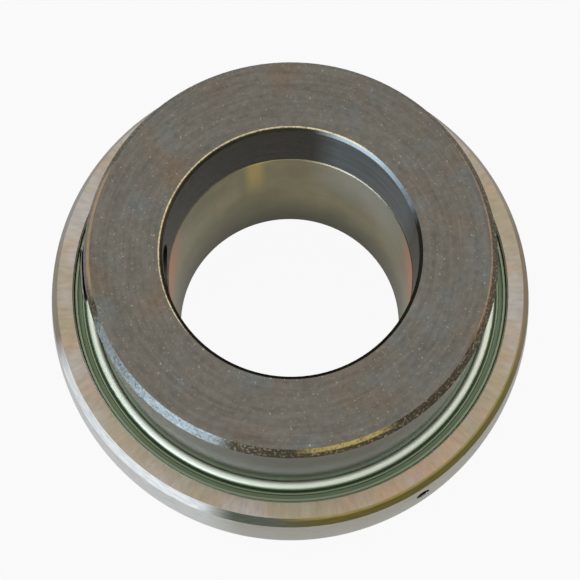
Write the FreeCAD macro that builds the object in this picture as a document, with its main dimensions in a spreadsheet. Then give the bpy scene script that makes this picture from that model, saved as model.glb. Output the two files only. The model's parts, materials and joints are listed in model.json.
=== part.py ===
import FreeCAD, Part
import math
import os

import Sketcher
from FreeCAD import Vector

# Insert bearing with a spherical outside and an eccentric locking collar.
# Millimetres and degrees. Z is the shaft's axis, the far end of the inner ring stands at Z = 0
# and the collar's face looks up.

# Driving sizes: name, value, what it is
SIZES = [
    ("shaft_diameter", 35.0, "bore of the inner ring"),
    ("inner_length", 27.7, "inner ring from end to end"),
    ("bore_chamfer", 0.5, "edge break at both ends of the inner ring's bore"),
    ("inner_edge_chamfer", 0.7, "edge break round the inner ring's far end"),
    ("cam_step", 1.4, "eccentric seat's radius under that of the inner ring"),
    ("cam_relief", 0.3, "eccentric seat beyond the collar's back"),
    ("cam_offset", 0.9, "how far the eccentric seat is off the axis"),
    ("cam_chamfer", 0.4, "edge break on the eccentric seat"),
    ("centre_height", 12.9, "plane of the balls and of the sphere's centre"),
    ("sphere_diameter", 72.0, "spherical outside"),
    ("outer_width", 18.0, "outer ring from face to face"),
    ("corner_width", 1.0, "chamfer of the outer ring, across the face"),
    ("corner_height", 1.8, "chamfer of the outer ring, along the axis"),
    ("seat_step", 1.75, "counterbore for a seal, wider than the ring's inside, on radius"),
    ("seat_depth", 2.2, "depth of that counterbore"),
    ("seat_edge", 0.2, "edge break at the counterbore's mouth"),
    ("grease_hole_diameter", 2.2, "radial hole through the outer ring"),
    ("grease_hole_offset", 4.55, "grease hole from the plane of the balls"),
    ("grease_hole_azimuth", 302.8, "place of the grease hole round the axis"),
    ("grease_hole_spread", 120.0, "angle between the two grease holes"),
    ("ball_count", 9, "balls"),
    ("ball_share", 0.30032, "ball's diameter over the outside less the bore: 11.112, 7/16 inch"),
    ("land_share", 0.603, "rings' edges from the balls' circle, over the ball's radius"),
    ("race_fit", 0.52, "raceway's section radius over the ball's diameter"),
    ("ball_clearance", 0.05, "ball to the bottom of either raceway"),
    ("cage_sheet", 0.7, "sheet of the two cage halves"),
    ("cage_share", 0.405, "cage across, over the ball's diameter"),
    ("cage_gap", 0.39, "least room between the cage and a seal"),
    ("pocket_clearance", 0.15, "ball to its pocket"),
    ("rivet_diameter", 1.8, "shank of a cage rivet"),
    ("rivet_head_diameter", 3.0, "head of a cage rivet"),
    ("rivet_head_height", 0.7, "height of that head"),
    ("rivet_clearance", 0.03, "rivet to its hole"),
    ("seal_clearance", 0.05, "seal to the side of its counterbore"),
    ("inner_shield_sheet", 0.3, "sheet of the shield beside the balls"),
    ("rubber_thickness", 0.9, "rubber between the two shields"),
    ("rubber_grip", 2.3, "rubber clamped between the shields, on radius"),
    ("outer_shield_sheet", 0.4, "sheet of the shield that shows"),
    ("rim_height", 1.1, "turned-up rim of the outer shield"),
    ("rim_edge", 0.1, "edge break at the rim's outer corner"),
    ("bead_inset", 2.4, "outer shield's round bead from the counterbore's side"),
    ("bead_radius", 0.7, "outside radius of the bead's section"),
    ("rib_inset", 1.25, "fine rib between bead and rim from the counterbore's side"),
    ("rib_width", 0.4, "rib across its foot"),
    ("rib_crest", 0.2, "rib across its top"),
    ("rib_height", 0.15, "height of the rib"),
    ("shield_gap", 1.2, "shields' inner edge to the inner ring"),
    ("lip_clearance", 0.1, "rubber lips to the inner ring, and rubber to the shields' edge"),
    ("lip_rise", 0.4, "how far the lips stand out past the rubber's faces"),
    ("lip_bevel", 0.3, "bevel of each lip, on radius"),
    ("lip_crown", 0.2, "bevel of each lip, along the axis"),
    ("collar_wall", 5.1, "locking collar's thinnest wall round its recess"),
    ("collar_lift", 0.1, "collar's back over the outer ring's face"),
    ("collar_bore_gap", 0.05, "collar's bore beyond the shaft, on radius"),
    ("collar_web", 11.2, "collar beyond the inner ring's end"),
    ("recess_clearance", 0.4, "recess to the eccentric seat, on radius"),
    ("recess_chamfer", 0.5, "lead-in at the recess's mouth"),
    ("collar_chamfer_width", 0.95, "front chamfer, across the face"),
    ("collar_chamfer_height", 1.25, "front chamfer, along the axis"),
    ("collar_bore_chamfer", 0.48, "chamfer of the collar's bore"),
    ("collar_back_chamfer", 0.4, "edge break at the back of the collar"),
    ("screw_azimuth", 184.4, "place of the set screw round the axis"),
    ("screw_diameter", 8.0, "nominal thread, M8"),
    ("screw_pitch", 1.25, "thread pitch"),
    ("screw_length", 10.0, "set screw from end to end"),
    ("screw_proud", 0.6, "how far the set screw stands out of the collar"),
    ("screw_clearance", 0.05, "set screw to its hole, on radius"),
    ("screw_end_chamfer", 0.3, "edge break at the set screw's outer end"),
    ("hole_countersink", 0.35, "countersink at the mouth of the screw's hole"),
    ("cup_diameter", 5.0, "rim of the cup point"),
    ("cup_depth", 1.4, "depth of the cup point"),
    ("socket_size", 4.0, "hexagon socket across its flats"),
    ("socket_depth", 4.0, "depth of the socket's flats"),
    ("drill_angle", 118.0, "point angle of the drill that opened the socket"),
]

doc = FreeCAD.newDocument("InsertBearing")
sheet = doc.addObject("Spreadsheet::Sheet", "Sizes")


# Places and sizes that follow from the driving sizes
BORE = "Sizes.shaft_diameter / 2"
SPHERE = "Sizes.sphere_diameter / 2"
CENTRE = "Sizes.centre_height"
HALF_WIDTH = "Sizes.outer_width / 2"
PITCH = "(Sizes.shaft_diameter + Sizes.sphere_diameter) / 4"
# The ball fills its share of the section, and leaves room for the cage and the seals
SECTION_ROOM = "Sizes.ball_share * (Sizes.sphere_diameter - Sizes.shaft_diameter)"
SEAL_ROOM = "Sizes.seat_depth + Sizes.cage_gap + Sizes.cage_sheet + Sizes.pocket_clearance"
BALL_SIZE = f"min({SECTION_ROOM}; Sizes.outer_width - 2 * ({SEAL_ROOM}))"
BALL = f"{BALL_SIZE} / 2"
POCKET = f"({BALL} + Sizes.pocket_clearance)"
RACE = f"{BALL_SIZE} * Sizes.race_fit"
INNER_RACE = f"{PITCH} - {BALL} - Sizes.ball_clearance + {RACE}"
OUTER_RACE = f"{PITCH} + {BALL} + Sizes.ball_clearance - {RACE}"
INNER_LAND = f"{PITCH} - Sizes.land_share * {BALL}"
OUTER_LAND = f"{PITCH} + Sizes.land_share * {BALL}"
SEAT = f"{OUTER_LAND} + Sizes.seat_step"
SEAT_FLOOR = "Sizes.outer_width / 2 - Sizes.seat_depth"
SEAL_OUTSIDE = f"{SEAT} - Sizes.seal_clearance"
SHIELD_INSIDE = f"{INNER_LAND} + Sizes.shield_gap"
RUBBER_FOOT = f"{SEAT_FLOOR} + Sizes.inner_shield_sheet"
RUBBER_TOP = f"{RUBBER_FOOT} + Sizes.rubber_thickness"
BEAD = f"{SEAT} - Sizes.bead_inset"
BEAD_HOLLOW = "(Sizes.bead_radius - Sizes.outer_shield_sheet)"
RUBBER_OUTSIDE = f"{SHIELD_INSIDE} + Sizes.rubber_grip"
CAM = f"{INNER_LAND} - Sizes.cam_step"
RECESS = f"{CAM} + Sizes.recess_clearance"
COLLAR_BACK = f"{CENTRE} + {HALF_WIDTH} + Sizes.collar_lift"
CAM_FOOT = f"{COLLAR_BACK} - Sizes.cam_relief"
COLLAR_FACE = "Sizes.inner_length + Sizes.collar_web"
COLLAR_OUTSIDE = f"{RECESS} + Sizes.cam_offset + Sizes.collar_wall"
COLLAR_BORE = f"{BORE} + Sizes.collar_bore_gap"
SCREW_HEIGHT = "Sizes.inner_length + Sizes.collar_web / 2"
# A plain cylinder at the pitch line stands for the fine thread. In a metric thread that line's
# diameter is smaller than the nominal one by this share of the pitch.
PITCH_LINE_SHARE = 0.6495
THREAD = f"(Sizes.screw_diameter - {PITCH_LINE_SHARE} * Sizes.screw_pitch) / 2"
SCREW_END = f"{COLLAR_OUTSIDE} + Sizes.screw_proud"
SCREW_TIP = f"{SCREW_END} - Sizes.screw_length"
BALL_STEP = "360 / Sizes.ball_count"


def fill_sheet():
    """Write the driving sizes into the sheet, each cell with its own name."""
    for row, (alias, value, note) in enumerate(SIZES, start=1):
        sheet.set(f"A{row}", alias)
        sheet.set(f"B{row}", str(value))
        sheet.set(f"C{row}", note)
        sheet.setAlias(f"B{row}", alias)
    doc.recompute()


def number(formula):
    """Return the value of a formula of the sheet as a plain number."""
    value = sheet.evalExpression(formula)
    return float(getattr(value, "Value", value))


def level(side, height):
    """Give a height measured from the balls' plane, up for side 1 and down for side -1."""
    return f"{CENTRE} {'+' if side > 0 else '-'} ({height})"


def side_name(side):
    """Name the collar's side front and the far side rear."""
    return "front" if side > 0 else "rear"


def new_body(name):
    """Start a sub-part."""
    body = doc.addObject("PartDesign::Body", name)
    body.Label = name
    return body


def new_sketch(body, name, role, offset=None):
    """Lay a sketch on one of the body's own origin planes, raised by a formula where one is given."""
    sketch = body.newObject("Sketcher::SketchObject", name)
    plane = next(item for item in body.Origin.OriginFeatures if item.Role == role)
    sketch.AttachmentSupport = [(plane, "")]
    sketch.MapMode = "FlatFace"
    if offset:
        sketch.setExpression("AttachmentOffset.Base.z", offset)
    return sketch


def hold(sketch, geometry, point, across, up):
    """Fix a point of a sketch by formulas for its two coordinates; None leaves one free."""
    for kind, axis, formula in (("DistanceX", -2, across), ("DistanceY", -1, up)):
        if formula is None:
            continue
        if formula == "0":
            sketch.addConstraint(Sketcher.Constraint("PointOnObject", geometry, point, axis))
            continue
        index = sketch.addConstraint(
            Sketcher.Constraint(kind, -1, 1, geometry, point, number(formula))
        )
        sketch.setExpression(f"Constraints[{index}]", formula)


def draw_band(sketch, inside, outside, low, high):
    """Draw a rectangle between two radii and two heights."""
    draw_outline(sketch, [(inside, low), (outside, low), (outside, high), (inside, high)])


def draw_circle(sketch, radius, across="0", up="0"):
    """Draw a circle held by its radius and centre."""
    place = Vector(number(across), number(up), 0)
    index = sketch.addGeometry(Part.Circle(place, Vector(0, 0, 1), number(radius)))
    hold(sketch, index, 3, across, up)
    hold_radius(sketch, index, radius)


def hold_radius(sketch, index, radius):
    """Fix the radius of a circle or an arc by a formula."""
    size = sketch.addConstraint(Sketcher.Constraint("Radius", index, number(radius)))
    sketch.setExpression(f"Constraints[{size}]", radius)


class Arc:
    """An arc of an outline: its centre, its radius and what the sketch holds of them.

    way is 1 for an arc that runs anticlockwise, -1 for clockwise and 0 for the shorter way.
    """

    def __init__(self, across, up, radius, held="across up radius", way=0):
        self.across = across
        self.up = up
        self.radius = radius
        self.held = held
        self.way = way

    def meet(self, up):
        """Return how far out the arc stands at a height."""
        rise = number(up) - number(self.up)
        return number(self.across) + math.sqrt(number(self.radius) ** 2 - rise**2)

    def draw(self, sketch, here, there):
        """Draw the arc between two places and return its two ends in their order."""
        centre = Vector(number(self.across), number(self.up), 0)
        angle = [math.atan2(p.y - centre.y, p.x - centre.x) for p in (here, there)]
        shorter = (angle[1] - angle[0]) % (2 * math.pi) < math.pi
        ahead = self.way > 0 if self.way else shorter
        circle = Part.Circle(centre, Vector(0, 0, 1), number(self.radius))
        angle = angle if ahead else angle[::-1]
        index = sketch.addGeometry(Part.ArcOfCircle(circle, *angle))
        return ((index, 1), (index, 2)) if ahead else ((index, 2), (index, 1))

    def hold(self, sketch, index):
        """Fix the arc's centre and radius by their formulas."""
        across = self.across if "across" in self.held else None
        hold(sketch, index, 3, across, self.up if "up" in self.held else None)
        if "radius" in self.held:
            hold_radius(sketch, index, self.radius)


def draw_outline(sketch, corners, arcs=None):
    """Draw a closed outline through corners held by formulas.

    arcs gives each arc by the number of the corner that it leaves. A corner with None across
    lies where its arc is at that height.
    """
    arcs = arcs or {}
    count = len(corners)
    on_arc = {step % count: arcs[i] for i in arcs for step in (i, i + 1)}
    places = [
        Vector(on_arc[i].meet(up) if across is None else number(across), number(up), 0)
        for i, (across, up) in enumerate(corners)
    ]
    sides = []
    for i, here in enumerate(places):
        there = places[(i + 1) % count]
        if i in arcs:
            sides.append(arcs[i].draw(sketch, here, there))
        else:
            index = sketch.addGeometry(Part.LineSegment(here, there))
            sides.append(((index, 1), (index, 2)))
    for i in range(count):
        following = sides[(i + 1) % count][0]
        sketch.addConstraint(Sketcher.Constraint("Coincident", *sides[i][1], *following))
    for i, arc in arcs.items():
        arc.hold(sketch, sides[i][0][0])
    for (start, _), (across, up) in zip(sides, corners):
        hold(sketch, *start, across, up)


def turn(body, name, sketch, axis="V_Axis", kind="Revolution"):
    """Revolve a sketch about one of its axes, to add or, as a Groove, to cut."""
    feature = body.newObject(f"PartDesign::{kind}", name)
    feature.Profile = sketch
    feature.ReferenceAxis = (sketch, [axis])
    feature.Angle = 360.0
    return finish_feature(feature, sketch)


def cut_through(body, name, sketch, reverse=False, depth=None):
    """Pocket a sketch, through everything on one side of it or to a depth."""
    feature = body.newObject("PartDesign::Pocket", name)
    feature.Profile = sketch
    feature.Reversed = reverse
    if depth:
        feature.setExpression("Length", depth)
    else:
        feature.Type = "ThroughAll"
    return finish_feature(feature, sketch)


def finish_feature(feature, sketch):
    """Compute a feature and stop if it cut or added nothing."""
    doc.recompute()
    before = feature.BaseFeature.Shape.Volume if feature.BaseFeature else 0.0
    if feature.Shape.isNull() or abs(feature.Shape.Volume - before) < 1e-3:
        raise ValueError(f"{feature.Label} changes nothing")
    sketch.Visibility = False
    return feature


def repeat_round(body, name, features):
    """Repeat features round the Z axis, once for each ball."""
    pattern = body.newObject("PartDesign::PolarPattern", name)
    pattern.Originals = features
    axis = next(item for item in body.Origin.OriginFeatures if item.Role == "Z_Axis")
    pattern.Axis = (axis, [""])
    pattern.Angle = 360.0
    pattern.setExpression("Occurrences", "Sizes.ball_count")
    body.Tip = pattern
    doc.recompute()
    return pattern


def swing(item, angle):
    """Turn a sub-part about the Z axis by a formula."""
    item.Placement.Rotation = FreeCAD.Rotation(Vector(0, 0, 1), number(angle))
    item.setExpression("Placement.Rotation.Angle", angle)


def edge_at(shape, radius, height):
    """Name the circular edge of a shape with this radius at this height."""
    for index, edge in enumerate(shape.Edges, start=1):
        curve = edge.Curve
        if not isinstance(curve, Part.Circle) or abs(curve.Center.z - height) > 1e-4:
            continue
        if abs(curve.Radius - radius) < 1e-4:
            return f"Edge{index}"
    raise ValueError("no such edge")


def break_edge(body, name, feature, radius, height, size):
    """Chamfer the circular edge of a feature that has this radius at this height."""
    bevel = body.newObject("PartDesign::Chamfer", name)
    bevel.Base = (feature, [edge_at(feature.Shape, number(radius), number(height))])
    bevel.setExpression("Size", size)
    doc.recompute()
    return bevel


# Outer ring: spherical outside, deep raceway, a counterbore for a seal at each face
def make_outer_ring():
    body = new_body("outer_ring")
    sketch = new_sketch(body, "outer_ring_profile", "XZ_Plane")
    corner = f"({HALF_WIDTH} - Sizes.corner_height)"
    edge = f"sqrt(pow({SPHERE}; 2) - pow({corner}; 2)) - Sizes.corner_width"
    mouth = f"{SEAT} + Sizes.seat_edge"
    mouth_foot = f"{HALF_WIDTH} - Sizes.seat_edge"
    corners = [
        (None, level(-1, corner)),
        (None, level(1, corner)),
        (edge, level(1, HALF_WIDTH)),
        (mouth, level(1, HALF_WIDTH)),
        (SEAT, level(1, mouth_foot)),
        (SEAT, level(1, SEAT_FLOOR)),
        (OUTER_LAND, level(1, SEAT_FLOOR)),
        (OUTER_LAND, level(-1, SEAT_FLOOR)),
        (SEAT, level(-1, SEAT_FLOOR)),
        (SEAT, level(-1, mouth_foot)),
        (mouth, level(-1, HALF_WIDTH)),
        (edge, level(-1, HALF_WIDTH)),
    ]
    draw_outline(sketch, corners, {0: Arc("0", CENTRE, SPHERE)})
    turn(body, "outer_ring_blank", sketch)
    race = new_sketch(body, "outer_race_section", "XZ_Plane")
    draw_circle(race, RACE, OUTER_RACE, CENTRE)
    turn(body, "outer_race", race, kind="Groove")
    cut_grease_hole(body, 1)
    cut_grease_hole(body, -1)
    return body


# Grease hole: radial, one on each side of the balls' plane
def cut_grease_hole(body, side):
    name = side_name(side)
    sketch = new_sketch(body, f"{name}_grease_hole_sketch", "YZ_Plane")
    turned = "Sizes.grease_hole_azimuth" + ("" if side > 0 else " - Sizes.grease_hole_spread")
    # The sketch's plane is turned about the Z axis, so that its normal points along the hole
    sketch.AttachmentOffset = FreeCAD.Placement(
        Vector(0, 0, 0), FreeCAD.Rotation(Vector(0, 1, 0), number(turned))
    )
    sketch.setExpression("AttachmentOffset.Rotation.Angle", turned)
    height = level(side, "Sizes.grease_hole_offset")
    draw_circle(sketch, "Sizes.grease_hole_diameter / 2", "0", height)
    cut_through(body, f"{name}_grease_hole", sketch, reverse=True)


# Inner ring: wide, with a raceway and an eccentric seat that the collar locks on
def make_inner_ring():
    body = new_body("inner_ring")
    sketch = new_sketch(body, "inner_ring_profile", "XZ_Plane")
    chamfer = "Sizes.bore_chamfer"
    edge = "Sizes.inner_edge_chamfer"
    corners = [
        (f"{BORE} + {chamfer}", "0"),
        (f"{INNER_LAND} - {edge}", "0"),
        (INNER_LAND, edge),
        (INNER_LAND, "Sizes.inner_length"),
        (f"{BORE} + {chamfer}", "Sizes.inner_length"),
        (BORE, f"Sizes.inner_length - {chamfer}"),
        (BORE, chamfer),
    ]
    draw_outline(sketch, corners)
    turn(body, "inner_ring_blank", sketch)
    race = new_sketch(body, "inner_race_section", "XZ_Plane")
    draw_circle(race, RACE, INNER_RACE, CENTRE)
    turn(body, "inner_race", race, kind="Groove")
    cam = new_sketch(body, "cam_sketch", "XY_Plane", CAM_FOOT)
    draw_circle(cam, f"{INNER_LAND} + Sizes.cam_offset")
    draw_circle(cam, CAM, "0", "Sizes.cam_offset")
    cut = cut_through(body, "cam", cam, reverse=True)
    break_edge(body, "cam_edge", cut, CAM, "Sizes.inner_length", "Sizes.cam_chamfer")
    swing(body, "Sizes.screw_azimuth")
    return body


# Ball: one of the ring of balls between the raceways
def make_ball(index):
    ball = doc.addObject("Part::Sphere", f"ball_{index + 1}")
    ball.Label = f"ball_{index + 1}"
    ball.setExpression("Radius", BALL)
    ball.setExpression("Placement.Base.x", f"{PITCH} * cos({index} * {BALL_STEP})")
    ball.setExpression("Placement.Base.y", f"{PITCH} * sin({index} * {BALL_STEP})")
    ball.setExpression("Placement.Base.z", CENTRE)
    return ball


# Cage half: a flat ribbon of sheet with a domed pocket over each ball
def make_cage_half(side):
    name = "cage_front" if side > 0 else "cage_rear"
    body = new_body(name)
    inside = f"{PITCH} - Sizes.cage_share * {BALL}"
    outside = f"{PITCH} + Sizes.cage_share * {BALL}"
    dome = f"{POCKET} + Sizes.cage_sheet"

    ribbon = new_sketch(body, f"{name}_ribbon_sketch", "XZ_Plane")
    draw_band(ribbon, inside, outside, CENTRE, level(side, "Sizes.cage_sheet"))
    turn(body, f"{name}_ribbon", ribbon)

    domes = new_sketch(body, f"{name}_dome_sketch", "XZ_Plane")
    quarter = [(PITCH, CENTRE), (f"{PITCH} + {dome}", CENTRE), (PITCH, level(side, dome))]
    draw_outline(domes, quarter, {1: Arc(PITCH, CENTRE, dome, "across")})
    first_dome = turn_about_ball(body, f"{name}_dome", domes, "Revolution")
    repeat_round(body, f"{name}_domes", [first_dome])

    pockets = new_sketch(body, f"{name}_pocket_sketch", "XZ_Plane")
    half = [(PITCH, level(-1, POCKET)), (PITCH, level(1, POCKET))]
    draw_outline(pockets, half, {0: Arc(PITCH, CENTRE, POCKET, "across", 1)})
    first_pocket = turn_about_ball(body, f"{name}_pocket", pockets, "Groove")
    repeat_round(body, f"{name}_pockets", [first_pocket])

    below, above = level(-side, "Sizes.cage_sheet"), level(side, f"{dome} + Sizes.cage_sheet")
    for label, start, end in (
        ("inside", f"{inside} - {dome}", inside),
        ("outside", outside, f"{outside} + {dome}"),
    ):
        trim = new_sketch(body, f"{name}_{label}_trim_sketch", "XZ_Plane")
        draw_band(trim, start, end, below, above)
        turn(body, f"{name}_{label}_trim", trim, kind="Groove")

    holes = new_sketch(body, f"{name}_rivet_hole_sketch", "XY_Plane")
    place = [f"{PITCH} * {function}({BALL_STEP} / 2)" for function in ("cos", "sin")]
    draw_circle(holes, "Sizes.rivet_diameter / 2 + Sizes.rivet_clearance", *place)
    holes.setExpression("AttachmentOffset.Base.z", below)
    hole = cut_through(body, f"{name}_rivet_hole", holes, reverse=side > 0)
    repeat_round(body, f"{name}_rivet_holes", [hole])
    return body


def turn_about_ball(body, name, sketch, kind):
    """Revolve a sketch about the upright line through the first ball's centre."""
    foot = Vector(number(PITCH), number(CENTRE), 0)
    line = Part.LineSegment(foot, foot + Vector(0, number(BALL), 0))
    index = sketch.addGeometry(line, True)
    hold(sketch, index, 1, PITCH, CENTRE)
    hold(sketch, index, 2, PITCH, f"{CENTRE} + {BALL}")
    return turn(body, name, sketch, "Axis0", kind)


# Cage rivets: one between every two balls, with a round head on each half
def make_cage_rivets():
    body = new_body("cage_rivets")
    sketch = new_sketch(body, "cage_rivet_sketch", "XZ_Plane")
    shank = f"{PITCH} + Sizes.rivet_diameter / 2"
    head = f"{PITCH} + Sizes.rivet_head_diameter / 2"
    foot = "Sizes.cage_sheet"
    top = "(Sizes.cage_sheet + Sizes.rivet_head_height)"
    crown = (
        "((pow(Sizes.rivet_head_diameter / 2; 2) + pow(Sizes.rivet_head_height; 2))"
        " / (2 * Sizes.rivet_head_height))"
    )
    corners = [
        (PITCH, level(-1, top)),
        (head, level(-1, foot)),
        (shank, level(-1, foot)),
        (shank, level(1, foot)),
        (head, level(1, foot)),
        (PITCH, level(1, top)),
    ]
    arcs = {
        0: Arc(PITCH, f"{CENTRE} - {top} + {crown}", crown, "across"),
        4: Arc(PITCH, f"{CENTRE} + {top} - {crown}", crown, "across"),
    }
    draw_outline(sketch, corners, arcs)
    rivet = turn_about_ball(body, "cage_rivet", sketch, "Revolution")
    repeat_round(body, "cage_rivet_ring", [rivet])
    swing(body, f"{BALL_STEP} / 2")
    return body


# Inner shield of a seal: a flat washer on the floor of the counterbore
def make_inner_shield(side):
    name = f"{side_name(side)}_seal_inner_shield"
    body = new_body(name)
    sketch = new_sketch(body, f"{name}_sketch", "XZ_Plane")
    low, high = level(side, SEAT_FLOOR), level(side, RUBBER_FOOT)
    draw_band(sketch, SHIELD_INSIDE, SEAL_OUTSIDE, low, high)
    turn(body, f"{name}_washer", sketch)
    return body


# Rubber of a seal: clamped between the shields, with two lips on the inner ring
def make_seal_lip(side):
    name = f"{side_name(side)}_seal_lip"
    body = new_body(name)
    sketch = new_sketch(body, f"{name}_sketch", "XZ_Plane")
    lip = f"{INNER_LAND} + Sizes.lip_clearance"
    neck = f"{SHIELD_INSIDE} - Sizes.lip_clearance"
    root = f"{lip} + Sizes.lip_bevel"
    above = f"{RUBBER_TOP} + Sizes.lip_rise"
    below = f"{RUBBER_FOOT} - Sizes.lip_rise"
    heights = [
        (RUBBER_OUTSIDE, RUBBER_FOOT),
        (RUBBER_OUTSIDE, RUBBER_TOP),
        (neck, RUBBER_TOP),
        (neck, above),
        (root, f"{above} + Sizes.lip_crown"),
        (lip, above),
        (root, f"{RUBBER_FOOT} + Sizes.rubber_thickness / 2"),
        (lip, f"{below} + Sizes.lip_crown"),
        (root, below),
        (neck, below),
        (neck, RUBBER_FOOT),
    ]
    draw_outline(sketch, [(across, level(side, height)) for across, height in heights])
    turn(body, f"{name}_ring", sketch)
    return body


# Outer shield of a seal: pressed sheet with a round bead, a fine rib and a turned-up rim
def make_outer_shield(side):
    name = f"{side_name(side)}_seal_outer_shield"
    body = new_body(name)
    sketch = new_sketch(body, f"{name}_sketch", "XZ_Plane")
    wall = "Sizes.outer_shield_sheet"
    spring = f"{HALF_WIDTH} - Sizes.bead_radius"
    flat = f"{RUBBER_TOP} + {wall}"
    valley = f"{RUBBER_FOOT} + {wall}"
    rib = f"{SEAT} - Sizes.rib_inset"
    rim = f"{RUBBER_FOOT} + Sizes.rim_height"
    heights = [
        (SHIELD_INSIDE, RUBBER_TOP),
        (f"{BEAD} - {BEAD_HOLLOW}", RUBBER_TOP),
        (f"{BEAD} - {BEAD_HOLLOW}", spring),
        (f"{BEAD} + {BEAD_HOLLOW}", spring),
        (f"{BEAD} + {BEAD_HOLLOW}", RUBBER_FOOT),
        (SEAL_OUTSIDE, RUBBER_FOOT),
        (SEAL_OUTSIDE, f"{rim} - Sizes.rim_edge"),
        (f"{SEAL_OUTSIDE} - Sizes.rim_edge", rim),
        (f"{SEAL_OUTSIDE} - {wall}", rim),
        (f"{SEAL_OUTSIDE} - {wall}", valley),
        (f"{rib} + Sizes.rib_width / 2", valley),
        (f"{rib} + Sizes.rib_crest / 2", f"{valley} + Sizes.rib_height"),
        (f"{rib} - Sizes.rib_crest / 2", f"{valley} + Sizes.rib_height"),
        (f"{rib} - Sizes.rib_width / 2", valley),
        (f"{BEAD} + Sizes.bead_radius", valley),
        (f"{BEAD} + Sizes.bead_radius", spring),
        (f"{BEAD} - Sizes.bead_radius", spring),
        (f"{BEAD} - Sizes.bead_radius", flat),
        (SHIELD_INSIDE, flat),
    ]
    arcs = {
        2: Arc(BEAD, level(side, spring), BEAD_HOLLOW, "up", -side),
        15: Arc(BEAD, level(side, spring), "Sizes.bead_radius", "up", side),
    }
    corners = [(across, level(side, height)) for across, height in heights]
    draw_outline(sketch, corners, arcs)
    turn(body, f"{name}_pressing", sketch)
    return body


# Locking collar: an eccentric recess fits over the inner ring's seat, and a set screw crosses it
def make_locking_collar():
    body = new_body("locking_collar")
    sketch = new_sketch(body, "locking_collar_profile", "XZ_Plane")
    corners = [
        (COLLAR_BORE, COLLAR_BACK),
        (f"{COLLAR_OUTSIDE} - Sizes.collar_back_chamfer", COLLAR_BACK),
        (COLLAR_OUTSIDE, f"{COLLAR_BACK} + Sizes.collar_back_chamfer"),
        (COLLAR_OUTSIDE, f"{COLLAR_FACE} - Sizes.collar_chamfer_height"),
        (f"{COLLAR_OUTSIDE} - Sizes.collar_chamfer_width", COLLAR_FACE),
        (f"{COLLAR_BORE} + Sizes.collar_bore_chamfer", COLLAR_FACE),
        (COLLAR_BORE, f"{COLLAR_FACE} - Sizes.collar_bore_chamfer"),
    ]
    draw_outline(sketch, corners)
    turn(body, "locking_collar_blank", sketch)
    recess = new_sketch(body, "recess_sketch", "XY_Plane", COLLAR_BACK)
    draw_circle(recess, RECESS, "0", "Sizes.cam_offset")
    depth = f"Sizes.inner_length - ({COLLAR_BACK})"
    cut = cut_through(body, "recess", recess, reverse=True, depth=depth)
    break_edge(body, "recess_lead_in", cut, RECESS, COLLAR_BACK, "Sizes.recess_chamfer")
    hole = new_sketch(body, "screw_hole_sketch", "YZ_Plane")
    bore = f"{THREAD} + Sizes.screw_clearance"
    draw_circle(hole, bore, "0", SCREW_HEIGHT)
    cut_through(body, "screw_hole", hole, reverse=True)
    cut_cone(body, "screw_countersink", COLLAR_OUTSIDE, f"{bore} + Sizes.hole_countersink", "45")
    swing(body, "Sizes.screw_azimuth")
    return body


def cut_cone(body, name, foot, radius, half_angle):
    """Cut a cone about the set screw's axis, with its widest circle at foot."""
    sketch = new_sketch(body, f"{name}_sketch", "XZ_Plane")
    corners = [
        (foot, SCREW_HEIGHT),
        (foot, f"{SCREW_HEIGHT} + {radius}"),
        (f"{foot} - ({radius}) / tan({half_angle})", SCREW_HEIGHT),
    ]
    draw_outline(sketch, corners)
    return turn_about_screw(body, name, sketch, "Groove")


def turn_about_screw(body, name, sketch, kind="Revolution"):
    """Revolve a sketch about the axis of the set screw."""
    start = Vector(number(SCREW_TIP), number(SCREW_HEIGHT), 0)
    line = sketch.addGeometry(Part.LineSegment(start, start + Vector(1, 0, 0)), True)
    hold(sketch, line, 1, SCREW_TIP, SCREW_HEIGHT)
    hold(sketch, line, 2, SCREW_END, SCREW_HEIGHT)
    return turn(body, name, sketch, "Axis0", kind)


# Set screw: hexagon socket at its outer end, cup point towards the shaft
def make_set_screw():
    body = new_body("set_screw")
    sketch = new_sketch(body, "set_screw_profile", "XZ_Plane")
    chamfer = "Sizes.screw_end_chamfer"
    side = f"{SCREW_HEIGHT} + {THREAD}"
    cup = "Sizes.cup_diameter / 2"
    corners = [
        (f"{SCREW_TIP} + Sizes.cup_depth", SCREW_HEIGHT),
        (SCREW_TIP, f"{SCREW_HEIGHT} + {cup}"),
        (f"{SCREW_TIP} + {THREAD} - {cup}", side),
        (f"{SCREW_END} - {chamfer}", side),
        (SCREW_END, f"{side} - {chamfer}"),
        (SCREW_END, SCREW_HEIGHT),
    ]
    draw_outline(sketch, corners)
    turn_about_screw(body, "set_screw_blank", sketch)
    socket = new_sketch(body, "socket_sketch", "YZ_Plane", SCREW_END)
    reach = "Sizes.socket_size / sqrt(3)"
    corners = [
        (f"{reach} * cos({60 * i})", f"{SCREW_HEIGHT} + {reach} * sin({60 * i})")
        for i in range(6)
    ]
    draw_outline(socket, corners)
    cut_through(body, "socket", socket, depth="Sizes.socket_depth")
    bottom = f"{SCREW_END} - Sizes.socket_depth"
    cut_cone(body, "drill_point", bottom, "Sizes.socket_size / 2", "Sizes.drill_angle / 2")
    swing(body, "Sizes.screw_azimuth")
    return body


def write_parts(parts):
    """Check every object of the document, then write one file for each sub-part."""
    doc.recompute()
    bad = [item.Name for item in doc.Objects if {"Invalid", "Error"} & set(item.State)]
    if bad:
        raise ValueError(f"failed: {bad}")
    for part in parts:
        if part.Shape.isNull() or not part.Shape.isValid():
            raise ValueError(f"{part.Label} has no valid shape")
    os.makedirs("parts", exist_ok=True)
    for part in parts:
        part.Shape.exportStep(f"parts/{part.Label}.step")


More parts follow.
